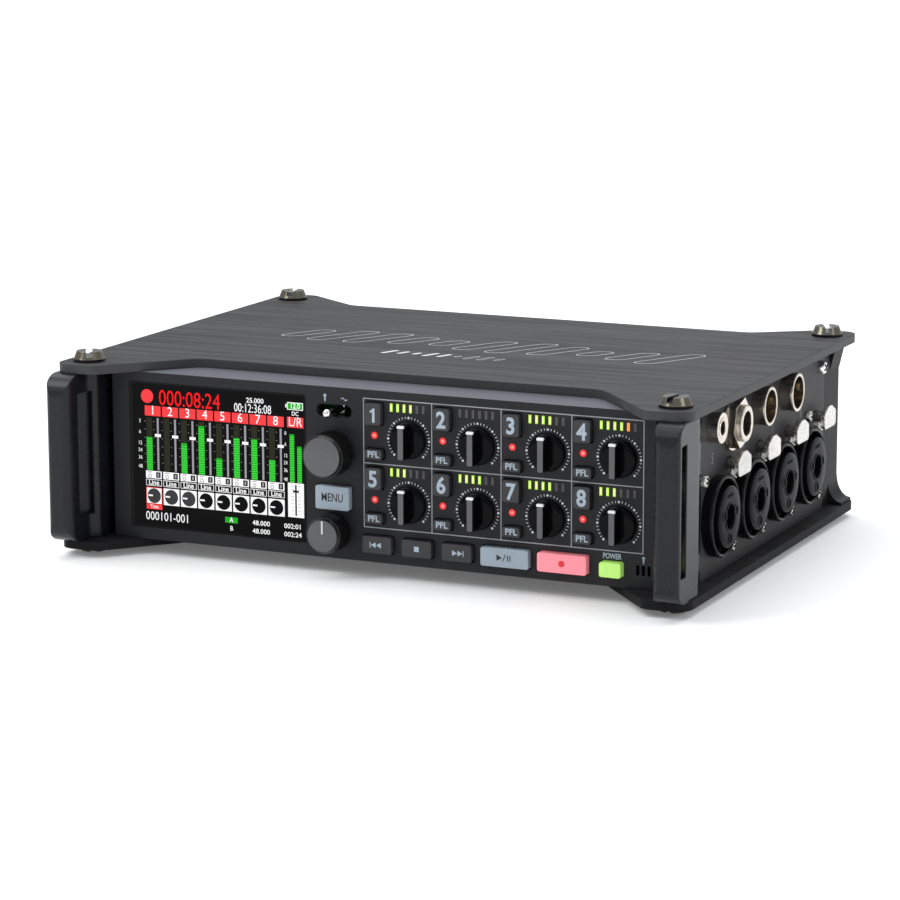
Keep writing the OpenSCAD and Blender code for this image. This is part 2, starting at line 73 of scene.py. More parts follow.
def grained(name, color, rough, metal=0.0, spread=0.25, grain=2500, stretch=(1, 1, 1), bump=0.15,
            depth=0.03, rough_spread=0.1, blotch=60, edge=0.15, broad_share=0.35, contrast=0.2, **more):
    """A finish whose colour and roughness vary with a fine grain and a broad one, with a bump of
    that grain and softly rounded edges. grain and blotch are noise scales per metre, depth and edge
    are in millimetres. The colours span a noise of 0.5 give or take contrast."""
    mat = bpy.data.materials.new(name)
    mat.use_nodes = True
    tree = mat.node_tree
    new, link = tree.nodes.new, tree.links.new
    shader = tree.nodes["Principled BSDF"]
    coords = new("ShaderNodeTexCoord")
    place = new("ShaderNodeMapping")
    place.inputs["Scale"].default_value = stretch
    link(coords.outputs["Object"], place.inputs["Vector"])
    fine, broad = new("ShaderNodeTexNoise"), new("ShaderNodeTexNoise")
    fine.inputs["Scale"].default_value = grain
    fine.inputs["Detail"].default_value = 4
    broad.inputs["Scale"].default_value = blotch
    link(place.outputs["Vector"], fine.inputs["Vector"])
    link(place.outputs["Vector"], broad.inputs["Vector"])
    both = new("ShaderNodeMath")
    both.operation = "MULTIPLY_ADD"
    both.inputs[1].default_value = broad_share
    link(broad.outputs["Fac"], both.inputs[0])
    share = new("ShaderNodeMath")
    share.operation = "MULTIPLY"
    share.inputs[1].default_value = 1 - broad_share
    link(fine.outputs["Fac"], share.inputs[0])
    link(share.outputs["Value"], both.inputs[2])
    ramp = new("ShaderNodeValToRGB")
    ramp.color_ramp.elements[0].position = 0.5 - contrast
    ramp.color_ramp.elements[1].position = 0.5 + contrast
    ramp.color_ramp.elements[0].color = (*[c * (1 - spread) for c in color], 1)
    ramp.color_ramp.elements[1].color = (*[min(1, c * (1 + spread)) for c in color], 1)
    link(both.outputs["Value"], ramp.inputs["Fac"])
    link(ramp.outputs["Color"], shader.inputs["Base Color"])
    span = new("ShaderNodeMapRange")
    span.inputs["To Min"].default_value = max(0.02, rough - rough_spread)
    span.inputs["To Max"].default_value = min(1, rough + rough_spread)
    link(both.outputs["Value"], span.inputs["Value"])
    link(span.outputs["Result"], shader.inputs["Roughness"])
    relief = new("ShaderNodeBump")
    relief.inputs["Strength"].default_value = bump
    relief.inputs["Distance"].default_value = depth * MM
    link(fine.outputs["Fac"], relief.inputs["Height"])
    if edge:
        rounding = new("ShaderNodeBevel")
        rounding.samples = 4
        rounding.inputs["Radius"].default_value = edge * MM
        link(rounding.outputs["Normal"], relief.inputs["Normal"])
    link(relief.outputs["Normal"], shader.inputs["Normal"])
    socket(shader, "Metallic", metal)
    for key, value in more.items():
        socket(shader, key.replace("_", " "), value)
    return mat


def glowing(name, color, strength, rough=0.35, glow=None, shine=0.3):
    """A lit lens or a lit part of the display."""
    lit = grained(name, [c * 0.5 for c in color], rough, spread=0.1, grain=1500, bump=0.05, edge=0,
                  Emission_Strength=strength, Specular_IOR_Level=shine)
    shader = lit.node_tree.nodes["Principled BSDF"]
    socket(shader, "Emission Color", (*(glow or color), 1))
    return lit


BRUSHED = (0.035, 1, 1)
SPECKLED = {"grain": 1900, "spread": 0.4, "bump": 0.8, "depth": 0.18}
STREAKS = {"stretch": BRUSHED, "grain": 1700, "blotch": 480, "spread": 0.36, "broad_share": 0.55,
           "contrast": 0.08, "bump": 0.12, "rough_spread": 0.15}
DULL = {"Specular_IOR_Level": 0.2}

FINISH = {
    "plate": grained("plate", (0.052, 0.052, 0.0535), 0.5, edge=0.45, Specular_IOR_Level=0.04,
                     **STREAKS),
    "case_wall": grained("case_wall", (0.034, 0.033, 0.035), 0.5, spread=0.15, Specular_IOR_Level=0.16),
    "panel": grained("panel", (0.016, 0.0162, 0.0178), 0.5, spread=0.18, edge=0.3, **DULL),
    "handle": grained("handle", (0.0090, 0.0093, 0.0125), 0.26, spread=0.15, bump=0.08, edge=0.8,
                      Specular_IOR_Level=0.25),
    "guard": grained("guard", (0.010, 0.010, 0.011), 0.45, spread=0.2, edge=0.4,
                     Specular_IOR_Level=0.08),
    "window": grained("window", (0.002, 0.002, 0.0025), 0.05, spread=0.1, bump=0.01, rough_spread=0.02,
                      Specular_IOR_Level=0.1),
    "display": grained("display", (0.03, 0.03, 0.035), 0.3),
    "board": grained("board", (0.01, 0.10, 0.035), 0.3, spread=0.3, grain=900, bump=0.3),
    "screw": grained("screw", (0.014, 0.013, 0.012), 0.22, 0.6, spread=0.15, bump=0.05, edge=0.3),
    "foot": grained("foot", (0.012, 0.012, 0.012), 0.8, spread=0.3, bump=0.4, depth=0.06, edge=0.3),
    "jack": grained("jack", (0.004, 0.004, 0.005), 0.2, spread=0.2, bump=0.04, edge=0.25,
                    Specular_IOR_Level=0.2),
    "socket": grained("socket", (0.62, 0.57, 0.50), 0.2, 1.0, spread=0.12, grain=3000, bump=0.06, edge=0.2),
    "light": grained("light_off", (0.080, 0.077, 0.080), 0.35, spread=0.15, edge=0, **DULL),
    "tray": grained("tray", (0.018, 0.018, 0.019), 0.55, spread=0.3, bump=0.35, depth=0.05, edge=0.4),
    "cell": grained("cell", (0.10, 0.11, 0.13), 0.3, 0.5, spread=0.2, edge=0.3),
    "shaft": grained("shaft", (0.55, 0.55, 0.55), 0.3, 1.0, stretch=(1, 30, 1)),
    "knob": grained("knob", (0.030, 0.030, 0.031), 0.22, 0.75, spread=0.2, edge=0.0),
    "lever": grained("lever", (0.85, 0.85, 0.84), 0.12, 1.0, spread=0.08, bump=0.03, edge=0.1),
    "key_pale": grained("key_pale", (0.31, 0.37, 0.43), 0.38, spread=0.12, blotch=220, edge=0.35,
                        Subsurface_Weight=0.1),
    "key_dark": grained("key_dark", (0.034, 0.034, 0.037), 0.45, spread=0.18, edge=0.4,
                        Specular_IOR_Level=0.35),
    "key_pink": grained("key_pink", (0.86, 0.26, 0.31), 0.35, spread=0.1, blotch=220, edge=0.35,
                        Emission_Color=(1, 0.26, 0.30, 1), Emission_Strength=0.2),
    "key_green": grained("key_green", (0.42, 0.70, 0.16), 0.35, spread=0.2, blotch=400, edge=0.35,
                         Emission_Color=(0.45, 0.90, 0.16, 1), Emission_Strength=0.3),
    "trim": grained("trim", (0.002, 0.002, 0.0026), 0.14, spread=0.1, bump=0.02, edge=0.15,
                    Specular_IOR_Level=0.08),
    "latch": grained("latch", (0.62, 0.61, 0.58), 0.22, 1.0, edge=0.4, **SPECKLED),
}
PLATE_EDGE = grained("plate_edge", (0.058, 0.058, 0.060), 0.45, spread=0.15, edge=0.45,
                     Specular_IOR_Level=0.1)
# The bottom plate is the same aluminium as the top one: its darker tone, and the still darker tone of its
# edges, are painted shade.
PAINTED_SHADE_PLATE_EDGE = grained("painted_shade_plate_edge", (0.013, 0.013, 0.014), 0.5, spread=0.15, edge=0.45,
                          Specular_IOR_Level=0.05)
PAINTED_SHADE_PLATE = grained("painted_shade_plate", (0.024, 0.024, 0.0255), 0.5, edge=0.45, Specular_IOR_Level=0.05,
                     **STREAKS)
# The upward top ledge of the front panel in a lighter bluish grey: a painted reflection of the bright
# surroundings.
PAINTED_REFLECTION_FLANGE = grained("panel_flange_painted_reflection", (0.115, 0.122, 0.142), 0.5, spread=0.12, edge=0.3,
                 Specular_IOR_Level=0.05)
# A lighter warm metal for the sloped band of the case screws' heads: a painted reflection on the bevel.
PAINTED_REFLECTION_SCREW_BAND = grained("screw_band_painted_reflection", (0.17, 0.16, 0.125), 0.2, 1.0, spread=0.2, bump=0.05, edge=0.2)
INK = grained("ink_grey", (0.30, 0.31, 0.33), 0.6, spread=0.12, edge=0)
INK_BRIGHT = grained("ink_bright", (0.62, 0.64, 0.66), 0.6, spread=0.12, edge=0)
INK_BLUE = grained("ink_blue", (0.36, 0.43, 0.50), 0.5, spread=0.15, edge=0)
INK_DARK = grained("ink_dark", (0.015, 0.016, 0.02), 0.5, spread=0.2, edge=0)
INK_RED = grained("ink_red", (0.75, 0.02, 0.04), 0.4, spread=0.1, edge=0)
INK_SIDE = grained("ink_side", (0.13, 0.145, 0.165), 0.6, spread=0.25, edge=0)
ENGRAVED = grained("engraved", (0.46, 0.46, 0.47), 0.5, spread=0.2, grain=4000, edge=0, **DULL)
KNOB_FACE = grained("knob_face", (0.110, 0.110, 0.112), 0.45, 0.3, spread=0.1, edge=0,
                    Specular_IOR_Level=0.3)
BAR_FACE = grained("bar_face", (0.100, 0.099, 0.102), 0.3, spread=0.15, edge=0.1,
                   Specular_IOR_Level=0.3)
# A white block on the top end of each trim knob's pointer bar: a painted highlight where the overhead light
# falls.
PAINTED_HIGHLIGHT_CAP = grained("trim_top_painted_highlight", (0.80, 0.80, 0.80), 0.35, spread=0.06, edge=0.15)
INSERT = grained("jack_insert", (0.006, 0.0057, 0.0075), 0.3, spread=0.25, bump=0.08, edge=0.2,
                 Specular_IOR_Level=0.03)
# Pure black for the insides of holes, bores and screw slots, where it is painted shade, and for a data
# socket's black plastic tongue.
PAINTED_SHADE_AND_BLACK_PLASTIC = grained("painted_shade_and_black_plastic", (0.001, 0.001, 0.001), 0.7, edge=0, Specular_IOR_Level=0.05)
BRASS = grained("contact_brass", (0.55, 0.42, 0.20), 0.25, 1.0)
BROWN = grained("insulator_brown", (0.10, 0.055, 0.035), 0.5, spread=0.3)
CORE_RED = glowing("core_red", (1.0, 0.30, 0.30), 0.6)
CORE_GREEN = glowing("core_green", (0.90, 1.0, 0.50), 0.7)
LIT_RED = glowing("lit_red", (0.9, 0.03, 0.03), 0.55, glow=(0.95, 0.04, 0.04))
LIT_GREEN = glowing("lit_green", (0.45, 0.75, 0.05), 0.6, glow=(0.60, 0.95, 0.10))
LIT_ORANGE = glowing("lit_orange", (0.9, 0.30, 0.06), 0.8)
SCREEN_TONES = {
    "black": ((0.002, 0.002, 0.0025), 0.2),
    "red": ((0.85, 0.045, 0.05), 0.75),
    "line": ((0.85, 0.006, 0.01), 0.7),
    "white": ((0.85, 0.85, 0.85), 0.7),
    "grey": ((0.27, 0.26, 0.28), 0.8),
    "dim": ((0.035, 0.035, 0.038), 0.8),
    "green": ((0.012, 0.34, 0.015), 0.75),
    "lime": ((0.05, 0.62, 0.05), 0.75),
    "olive": ((0.018, 0.020, 0.010), 0.7),
}
SCREEN = {key: glowing(f"screen_{key}", tone, glow, rough=0.15, shine=0.06)
          for key, (tone, glow) in SCREEN_TONES.items()}


# ---- shapes drawn on a face ----


def face_frame(origin, right, up):
    """The frame of a face: its first two axes lie in it, and the third points out of it."""
    right, up = Vector(right), Vector(up)
    matrix = Matrix((right, up, right.cross(up))).transposed().to_4x4()
    matrix.translation = Vector(origin) * MM
    return matrix


def arc(x, y, r, start, end, n):
    """n + 1 points on an arc, in degrees anticlockwise from the first axis."""
    return [(x + r * math.cos(math.radians(start + (end - start) * i / n)),
             y + r * math.sin(math.radians(start + (end - start) * i / n))) for i in range(n + 1)]


def circle(x, y, r, sides):
    return arc(x, y, r, 0, 360 - 360 / sides, sides - 1)


def soft_box(x, y, w, h, r, n=5):
    """The outline of a rectangle with rounded corners."""
    out = []
    for sx, sy, start in ((1, 1, 0), (-1, 1, 90), (-1, -1, 180), (1, -1, 270)):
        out += arc(x + sx * (w / 2 - r), y + sy * (h / 2 - r), r, start, start + 90, n)
    return out


CAPITAL = 0.58    # height of a capital in the built-in font, as a share of its size


class Piece:
    """One piece in one finish that rides on one body, built of solids drawn on a face."""

    def __init__(self, name, face, finish, slot, body="case"):
        self.name, self.face, self.finish, self.slot, self.body = name, face, finish, slot, body
        self.bm = bmesh.new()
        self.smooth = 35

    def prism(self, outline, bottom, top):
        lower = [self.bm.verts.new((x, y, bottom)) for x, y in outline]
        upper = [self.bm.verts.new((x, y, top)) for x, y in outline]
        self.bm.faces.new(upper)
        self.bm.faces.new(lower[::-1])
        for i in range(len(outline)):
            j = (i + 1) % len(outline)
            self.bm.faces.new((lower[i], lower[j], upper[j], upper[i]))

    def rect(self, x, y, w, h, bottom, top, corner=0.0):
        if corner:
            self.prism(soft_box(x, y, w, h, corner), bottom, top)
        else:
            self.prism([(x - w / 2, y - h / 2), (x + w / 2, y - h / 2), (x + w / 2, y + h / 2),
                        (x - w / 2, y + h / 2)], bottom, top)

    def disc(self, x, y, r, bottom, top, sides=32):
        self.prism(circle(x, y, r, sides), bottom, top)

    def line(self, points, width, bottom, top, closed=False):
        """A band of one width along a path, mitred at its corners."""
        pts = [Vector(p) for p in points]
        n = len(pts)
        sides = [[], []]
        for i, p in enumerate(pts):
            before = pts[i - 1] if i or closed else p
            after = pts[(i + 1) % n] if i < n - 1 or closed else p
            a = (p - before).normalized() if p != before else (after - p).normalized()
            b = (after - p).normalized() if p != after else a
            across = Vector((-(a + b).y, (a + b).x)).normalized()
            reach = width / 2 / max(0.3, abs(across.dot(Vector((-a.y, a.x)))))
            for side, sign in zip(sides, (1, -1)):
                q = p + across * reach * sign
                side.append([self.bm.verts.new((q.x, q.y, z)) for z in (bottom, top)])
        left, right = sides
        for i in range(n if closed else n - 1):
            j = (i + 1) % n
            for ring in ((left[i][1], left[j][1], right[j][1], right[i][1]),
                         (right[i][0], right[j][0], left[j][0], left[i][0]),
                         (left[i][0], left[j][0], left[j][1], left[i][1]),
                         (right[i][1], right[j][1], right[j][0], right[i][0])):
                self.bm.faces.new(ring)
        if not closed:
            for i, turn in ((0, 1), (n - 1, -1)):
                ring = [left[i][0], left[i][1], right[i][1], right[i][0]]
                self.bm.faces.new(ring[::turn])

    def lathe(self, x, y, profile, sides, closed=False):
        """A solid of revolution about a line out of the face: profile lists (radius, height)."""
        rings = []
        for r, z in profile:
            if r == 0:
                rings.append([self.bm.verts.new((x, y, z))] * sides)
            else:
                rings.append([self.bm.verts.new((*p, z)) for p in circle(x, y, r, sides)])
        pairs = list(zip(rings, rings[1:])) + ([(rings[-1], rings[0])] if closed else [])
        for a, b in pairs:
            for i in range(sides):
                j = (i + 1) % sides
                ring = list(dict.fromkeys((a[i], a[j], b[j], b[i])))
                if len(ring) > 2:
                    self.bm.faces.new(ring)

    def text(self, words, x, y, size, bottom, top, narrow=1.0, bold=0.0):
        """Plain letters, centred on x and y. size is the height of a capital."""
        curve = bpy.data.curves.new("words", "FONT")
        curve.body = words
        curve.align_x = "CENTER"
        curve.size = size / CAPITAL
        curve.offset = bold
        curve.extrude = (top - bottom) / 2
        curve.resolution_u = 3
        letters = bpy.data.objects.new("words", curve)
        mesh = bpy.data.meshes.new_from_object(letters)
        mesh.transform(Matrix.Translation((x, y - size / 2, (top + bottom) / 2))
                       @ Matrix.Diagonal((narrow, 1, 1, 1)))
        self.bm.from_mesh(mesh)
        bpy.data.objects.remove(letters)
        bpy.data.curves.remove(curve)
        bpy.data.meshes.remove(mesh)

    def build(self):
        bmesh.ops.remove_doubles(self.bm, verts=self.bm.verts, dist=1e-4)
        bmesh.ops.recalc_face_normals(self.bm, faces=self.bm.faces)
        mesh = bpy.data.meshes.new(self.name)
        self.bm.to_mesh(mesh)
        self.bm.free()
        mesh.transform(self.face @ Matrix.Diagonal((MM, MM, MM, 1)))
        mesh.materials.append(self.finish)
        mesh.shade_smooth()
        mesh.set_sharp_from_angle(angle=math.radians(self.smooth))
        piece = bpy.data.objects.new(self.name, mesh)
        bpy.context.scene.collection.objects.link(piece)
        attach(piece, self.body)


# ---- CAD nodes ----

FACE_Y = low("display_window").y
FRONT = face_frame((0, FACE_Y, 0), (1, 0, 0), (0, 0, 1))


def dress_nodes():
    for entry in frame["record"]["subparts"]:
        nodes[entry["node"]].material_slots[0].material = FINISH[entry["material_slot"]]
    # The bottom plate takes a darker copy of the plate's finish: painted shade.
    nodes["bottom_plate"].material_slots[0].material = PAINTED_SHADE_PLATE
    panel = nodes["front_panel"].data
    # Upward faces at the panel's top take the lighter ledge colour: a painted reflection.
    panel.materials.append(PAINTED_REFLECTION_FLANGE)
    panel_top = high("front_panel").z
    for polygon in panel.polygons:
        if polygon.normal.z > 0.9 and polygon.center.z / MM > panel_top - 0.1:
            polygon.material_index = 1
    # Upright edges get a finish of their own: the bottom plate's darker one is painted shade.
    for name, edge in (("top_plate", PLATE_EDGE), ("bottom_plate", PAINTED_SHADE_PLATE_EDGE)):
        plate = nodes[name].data
        plate.materials.append(edge)
        for polygon in plate.polygons:
            if abs(polygon.normal.z) < 0.5:
                polygon.material_index = 1
    screws = nodes["case_screws"].data
    # Sloped faces of the case screws take the lighter band: a painted reflection.
    screws.materials.append(PAINTED_REFLECTION_SCREW_BAND)
    for polygon in screws.polygons:
        if 0.15 < abs(polygon.normal.z) < 0.9:
            polygon.material_index = 1


# Places in a channel's cell, from the middle of its trim knob
CELL_MIDDLE = (-3.1, 4)
LAMP_AT = (-9.65, 0.5)
LAMPS_END = -7
BAR_FIRST = -4.85
BAR_STEP = 1.8
BAR_Z = 8.05
GREEN_BARS = 4
METERS = {1: 4, 2: 0, 3: 4, 4: 5, 5: 3, 6: 4, 7: 4, 8: 3}    # lit bars of each channel


def dress_lights():
    """Lights the lamps, and as many meter bars of each channel as METERS says."""
    mesh = nodes["indicator_lights"].data
    for mat in (LIT_RED, LIT_GREEN, LIT_ORANGE):
        mesh.materials.append(mat)
    knobs = {n: middle(f"trim_knob_{n}") for n in CHANNELS}
    for polygon in mesh.polygons:
        at = polygon.center / MM
        n = min(CHANNELS, key=lambda c: (abs(knobs[c].x + CELL_MIDDLE[0] - at.x)
                                         + abs(knobs[c].z + CELL_MIDDLE[1] - at.z)))
        across = at.x - knobs[n].x
        bar = round((across - BAR_FIRST) / BAR_STEP)
        if across < LAMPS_END:
            polygon.material_index = 1
        elif bar < METERS[n]:
            polygon.material_index = 3 if bar == GREEN_BARS else 2
    out = FACE_Y - low("indicator_lights").y
    red = Piece("lamp_cores", FRONT, CORE_RED, "light")
    green = Piece("meter_bar_cores", FRONT, CORE_GREEN, "light")
    for n in CHANNELS:
        red.disc(knobs[n].x + LAMP_AT[0], knobs[n].z + LAMP_AT[1], 0.42, out, out + 0.02, 20)
        for i in range(min(METERS[n], GREEN_BARS)):
            bar_x = knobs[n].x + BAR_FIRST + BAR_STEP * i
            green.rect(bar_x, knobs[n].z + BAR_Z, 0.3, 1.5, out, out + 0.02)
    red.build()
    green.build()


# ---- front panel ----

CELL_W = middle("trim_knob_2").x - middle("trim_knob_1").x
CELL_H = middle("trim_knob_1").z - middle("trim_knob_5").z
GRID_X = middle("trim_knob_1").x - 12.7
GRID_TOP = middle("trim_knob_1").z + 9.95
PRINT = (0.0, 0.03)          # heights of print on the front panel and on what it carries
WALL_PRINT = (0, 0.02)       # the same on the side and rear walls
LINE_W = 0.26
TICKS = 31
TICK_R = 5.75
MICROPHONE_X = 73.9          # middle of the slots of the built-in microphone


def print_panel():
    grid = Piece("panel_grid_lines", FRONT, INK, "panel")
    right, bottom = GRID_X + 4 * CELL_W, GRID_TOP - 2 * CELL_H
    for i in range(5):
        grid.line([(GRID_X + i * CELL_W, bottom), (GRID_X + i * CELL_W, GRID_TOP)], LINE_W, *PRINT)
    for i in range(3):
        z = GRID_TOP - i * CELL_H
        grid.line([(GRID_X - LINE_W / 2, z), (right + LINE_W / 2, z)], LINE_W, 0, 0.031)
    grid.build()
    ticks = Piece("panel_trim_ticks", FRONT, INK_BRIGHT, "panel")
    for n in CHANNELS:
        knob = middle(f"trim_knob_{n}")
        for i in range(TICKS):
            angle = math.radians(225 - 270 * i / (TICKS - 1))
            out = Vector((math.cos(angle), math.sin(angle)))
            tick = Vector((knob.x, knob.z)) + TICK_R * out
            if i % 5 == 0:
                ticks.disc(*tick, 0.31, *PRINT, sides=12)
            else:
                ticks.line([tick - 0.27 * out, tick + 0.27 * out], 0.17, *PRINT)
    ticks.build()
    marks = Piece("panel_symbols", FRONT, INK_BLUE, "panel")
    lever, power = middle("slate_lever"), middle("power_key")
    slate_mark(marks, lever.x - 2.6, lever.z + 3.4, 1.0)
    wave_mark(marks, lever.x + 2.9, lever.z + 3.2, 0.9)
    slate_mark(marks, MICROPHONE_X, power.z + 3.1, 0.95)
    marks.text("POWER", power.x, power.z + 3.2, 1.15, *PRINT, narrow=0.72, bold=0.035)
    marks.build()


def slate_mark(piece, x, y, size):
    """A slim microphone: a round head on a tapering stem."""
    piece.disc(x, y + 0.45 * size, 0.42 * size, *PRINT, sides=16)
    piece.prism([(x - 0.3 * size, y + 0.2 * size), (x - 0.08 * size, y - 1.2 * size),
                 (x + 0.08 * size, y - 1.2 * size), (x + 0.3 * size, y + 0.2 * size)], *PRINT)


def wave_mark(piece, x, y, size):
    """One period of a wave, for a test tone."""
    points = [(x + size * (i / 6 - 1), y + 0.35 * size * math.sin(math.pi * i / 6)) for i in range(13)]
    piece.line(points, 0.2, *PRINT)


def key_frame(node):
    """The frame of a key's or knob's front, with its origin in the front's middle."""
    at = middle(node)
    return face_frame((at.x, low(node).y, at.z), (1, 0, 0), (0, 0, 1))


def legend(node, finish, draw):
    piece = Piece(f"{node}_legend", key_frame(node), finish, slot_of(node), node)
    draw(piece)
    piece.build()


def slot_of(node):
    return next(e["material_slot"] for e in frame["record"]["subparts"] if e["node"] == node)


def triangle(piece, x, size, way=1):
    base, tip, rise = x - way * size / 2, x + way * size / 2, size * 0.55
    piece.prism([(base, -rise), (tip, 0), (base, rise)], *PRINT)


def draw_rewind(piece):
    piece.rect(-1.85, 0, 0.22, 1.5, *PRINT)
    triangle(piece, -0.95, 1.35, -1)
    triangle(piece, 0.55, 1.35, -1)


def draw_stop(piece):
    piece.rect(0, 0, 1.35, 1.35, *PRINT)


def draw_forward(piece):
    piece.rect(1.85, 0, 0.22, 1.5, *PRINT)
    triangle(piece, 0.95, 1.35)
    triangle(piece, -0.55, 1.35)


def draw_play(piece):
    triangle(piece, -1.35, 1.5)
    piece.line([(-0.45, -0.95), (0.35, 0.95)], 0.22, *PRINT)
    for x in (0.95, 1.6):
        piece.rect(x, 0, 0.28, 1.5, *PRINT)


def draw_one(piece):
    """The digit of channel 1, with a flag and no foot."""
    piece.prism([(-0.05, -2.1), (0.65, -2.1), (0.65, 1.6), (0.1, 1.6), (-0.15, 1.15), (-0.7, 0.95),
                 (-0.7, 0.45), (-0.05, 0.55)], *PRINT)


def print_keys():
    for n in CHANNELS:
        legend(f"track_key_{n}", INK_BLUE, draw_one if n == 1 else
               lambda piece: piece.text(str(n), 0, -0.3, 3.4, *PRINT, narrow=0.9, bold=0.17))
        legend(f"pfl_key_{n}", INK_BLUE,
               lambda piece: piece.text("PFL", 0, 0, 1.3, *PRINT, narrow=1.0, bold=0.055))
    legend("menu_key", INK_DARK,
           lambda piece: piece.text("MENU", 0, 0, 1.8, *PRINT, narrow=0.74, bold=0.03))
    legend("rewind_key", INK_BLUE, draw_rewind)
    legend("stop_key", INK_BLUE, draw_stop)
    legend("forward_key", INK_BLUE, draw_forward)
    legend("play_key", INK_DARK, draw_play)
    legend("record_key", INK_RED, lambda piece: piece.disc(0, 0, 0.85, *PRINT))


# ---- knobs ----


def dress_trim(n):
    """The grey face of a trim knob's pointer bar, a white painted highlight on its top end, and the dome it
    stands on.
    """
    node = f"trim_knob_{n}"
    face = key_frame(node)
    bar = Piece(f"{node}_pointer", face, BAR_FACE, "trim", node)
    bar.rect(0, -0.23, 1.5, 8.15, -0.1, 0.04, corner=0.3)
    bar.build()
    # The white block on the bar's top end is a painted highlight.
    painted_highlight = Piece(f"{node}_white_end", face, PAINTED_HIGHLIGHT_CAP, "trim", node)
    painted_highlight.prism([(-0.95, 3.82), (0.95, 3.82), (0.95, 4.3), (0.75, 4.5), (-0.75, 4.5), (-0.95, 4.3)],
              -0.55, 0.05)
    painted_highlight.build()
    dome = Piece(f"{node}_dome", face, FINISH["trim"], "trim", node)
    panel = low(node).y - FACE_Y
    outline = [(4.86, 0.35), (4.9, 0.55), (4.85, 0.9), (4.66, 1.2), (4.3, 1.38), (3.2, 1.5), (0, 1.58),
               (0, 0.9), (4.0, 0.8), (4.3, 0.35)]
    dome.lathe(0, 0, [(r, panel + rise) for r, rise in outline], sides=56, closed=True)
    dome.build()


def grip(node, r, slot):
    """A sleeve of small pyramids round a large knob, and the plain disc on its front."""
    face = key_frame(node)
    sleeve = Piece(f"{node}_knurl", face, FINISH["knob"], slot, node)
    sleeve.smooth = 1
    around, rows, pitch, start = 84, 13, 0.44, -0.75
    rings = []
    for j in range(rows):
        ring = []
        for i, (x, y) in enumerate(circle(0, 0, 1, around)):
            reach = r + (0.05 if (i + j) % 2 else -0.28)
            ring.append(sleeve.bm.verts.new((x * reach, y * reach, start - j * pitch)))
        rings.append(ring)
    for a, b in zip(rings, rings[1:]):
        for i in range(around):
            j = (i + 1) % around
            sleeve.bm.faces.new((a[i], a[j], b[j], b[i]))
    for ring, z in ((rings[0], start), (rings[-1], start - (rows - 1) * pitch)):
        inner = [sleeve.bm.verts.new((x, y, z)) for x, y in circle(0, 0, r - 0.9, around)]
        for i in range(around):
            j = (i + 1) % around
            sleeve.bm.faces.new((ring[i], ring[j], inner[j], inner[i]))
    sleeve.build()
    disc = Piece(f"{node}_front_disc", face, KNOB_FACE, slot, node)
    edge = r - 0.72
    disc.lathe(0, 0, [(0, 0.05), (r - 0.85, 0.05), (edge, -0.02), (edge, -0.3), (0, -0.3)], sides=64)
    disc.build()
    return face


def dress_knobs():
    for n in CHANNELS:
        dress_trim(n)
    grip("select_knob", (high("select_knob") - low("select_knob")).x / 2, "knob")
    face = grip("volume_knob", (high("volume_knob") - low("volume_knob")).x / 2, "knob")
    mark = Piece("volume_knob_pointer", face, INK_BRIGHT, "knob", "volume_knob")
    mark.rect(0, 2.3, 0.45, 3.4, 0.0, 0.09)
    mark.build()


# ---- display ----

SCREEN_PITCH = 5.205         # from one channel's column to the next
COLUMN_X = 6.2
COLUMN_W = 4.75
LEVELS = {1: 8.9, 2: 0, 3: 8.0, 4: 13.0, 5: 4.8, 6: 10.6, 7: 10.7, 8: 5.6}    # bar heights
METER_MIDDLE, METER_H = 30.2, 14.0
NUMBER_Z, SWITCH_Z, SOURCE_Z, DIAL_Z, TRIM_Z = 39.05, 21.9, 19.75, 16.2, 13.2    # rows of a column
HEADER_Z = 43.4
LAYER = 0.02                 # thickness of each layer of the picture
SEGMENT = 0.62               # pitch of the segments of a level bar
SCALE = (("6", 33.2), ("12", 30.2), ("24", 28.3), ("36", 26.3), ("48", 23.9))
MAIN_X = 49.2                # middle of the column of the main mix


def draw_display():
    """The display's picture, in layers. x runs from the window's left edge, z from the row's floor."""
    left = low("display_window").x
    window = face_frame((left, FACE_Y, 0), (1, 0, 0), (0, 0, 1))
    layers = {}

    def layer(color, depth):
        key = (color, depth)
        if key not in layers:
            name = f"display_{color}_{depth}"
            layers[key] = Piece(name, window, SCREEN[color], "window")
        return layers[key], LAYER * depth, LAYER * depth + LAYER

    def box(color, depth, x, z, w, h):
        piece, bottom, top = layer(color, depth)
        piece.rect(x, z, w, h, bottom, top)

    def dot(color, depth, x, z, r, sides):
        piece, bottom, top = layer(color, depth)
        piece.disc(x, z, r, bottom, top, sides)

    def words(color, depth, text, x, z, size, narrow=0.9, bold=0.0):
        piece, bottom, top = layer(color, depth)
        piece.text(text, x, z, size, bottom, top, narrow, bold)

    size = high("display_window") - low("display_window")
    box("black", 0, 1.0 + (size.x - 1.6) / 2, middle("display_window").z, size.x - 1.6, size.z - 0.9)
    draw_header(box, dot, words)
    for n in CHANNELS:
        draw_channel(n, COLUMN_X + (n - 1) * SCREEN_PITCH, box, dot, words)
    draw_scale("3", 3.1, 0.9, words)
    draw_main_mix(box, words)
    draw_footer(box, words)
    for piece in layers.values():
        piece.build()


